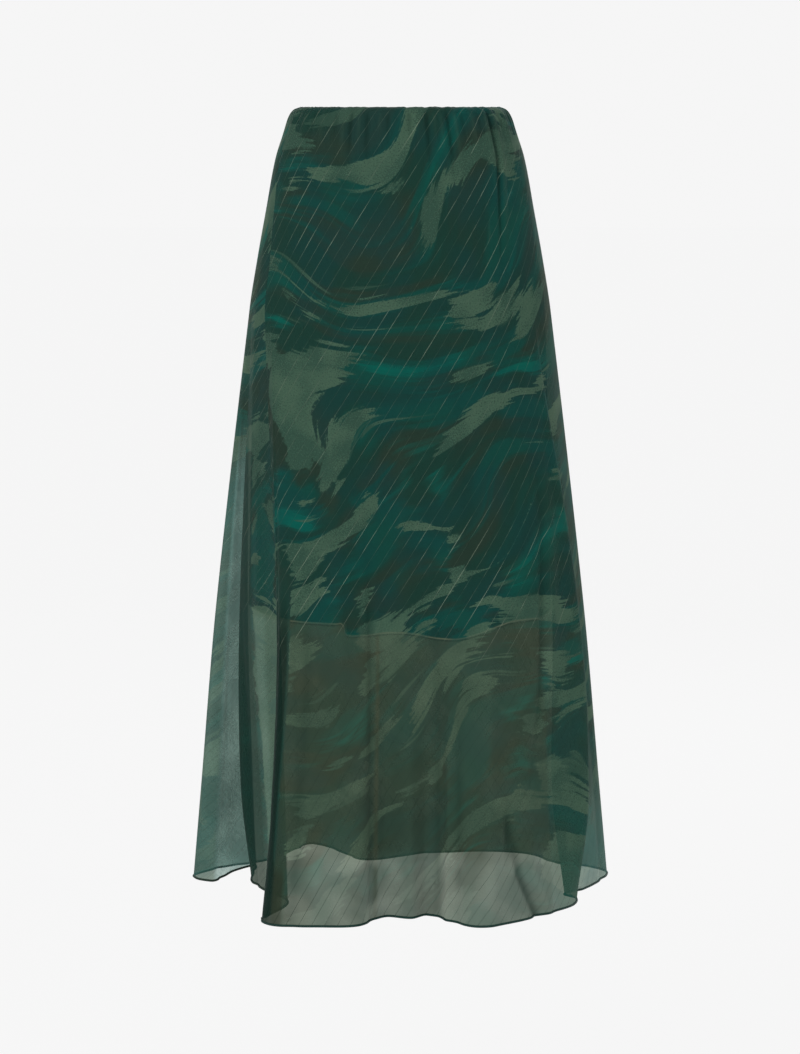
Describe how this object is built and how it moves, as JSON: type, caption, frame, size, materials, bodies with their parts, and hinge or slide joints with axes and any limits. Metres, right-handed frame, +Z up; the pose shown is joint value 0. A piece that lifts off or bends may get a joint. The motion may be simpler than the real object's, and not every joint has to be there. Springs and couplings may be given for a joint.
{
  "type": "long skirt",
  "caption": "Long flared skirt of sheer printed cloth, gathered on an elastic waist over a shorter opaque lining, filled out as when worn.",
  "frame": {"origin": "centre of the waist opening, level with the skirt's top edge", "axes": "+Z up, out of the waist; +Y to the skirt's back; +X to the viewer's right when the front is looked at"},
  "size_m": [0.508, 0.421, 0.9352],
  "materials": {
    "overlay_cloth": "sheer crinkled weave, matt, with fine metallic stripes",
    "lining_cloth": "smooth, opaque, faint sheen",
    "elastic": "ribbed, matt"
  },
  "bodies": {
    "root": {"overlay_front": "overlay_cloth", "overlay_back": "overlay_cloth", "lining_front": "lining_cloth", "lining_back": "lining_cloth", "waist_elastic": "elastic"}
  },
  "joints": []
}
